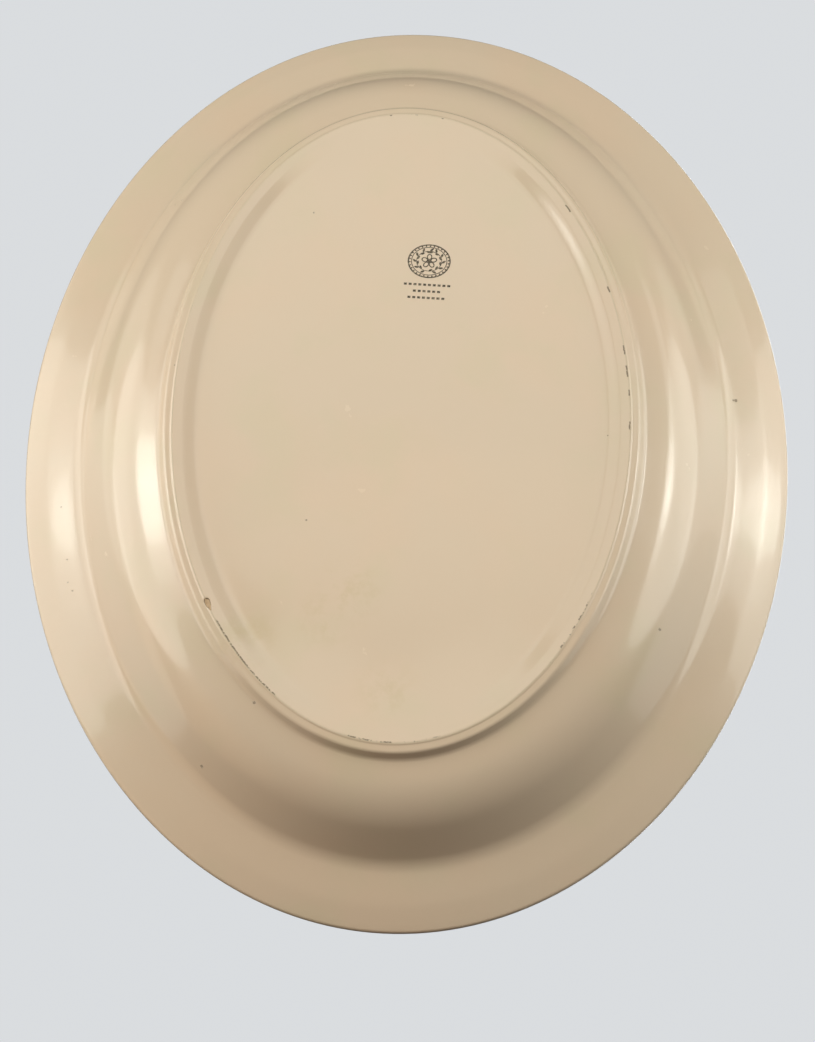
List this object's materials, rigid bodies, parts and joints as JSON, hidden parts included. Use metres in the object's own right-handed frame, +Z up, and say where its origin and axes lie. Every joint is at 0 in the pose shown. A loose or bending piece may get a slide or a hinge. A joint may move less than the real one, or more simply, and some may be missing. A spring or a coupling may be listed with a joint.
{
  "type": "serving platter",
  "caption": "Oval glazed china serving platter with a shallow well, a wide flange and a raised foot ring that it rests on.",
  "frame": {"origin": "centre of the foot ring's resting face, on the table", "axes": "+Z up out of the well, +Y along the platter's length, +X across its width"},
  "size_m": [0.267, 0.336, 0.0291],
  "materials": {
    "bisque_clay": "ground, matte",
    "ivory_glaze": "glossy",
    "stamp_ink": "printed under the glaze"
  },
  "bodies": {
    "root": {"clay_body": "bisque_clay", "glaze_coat": "ivory_glaze", "base_glaze": "ivory_glaze", "backstamp": "stamp_ink"}
  },
  "joints": []
}
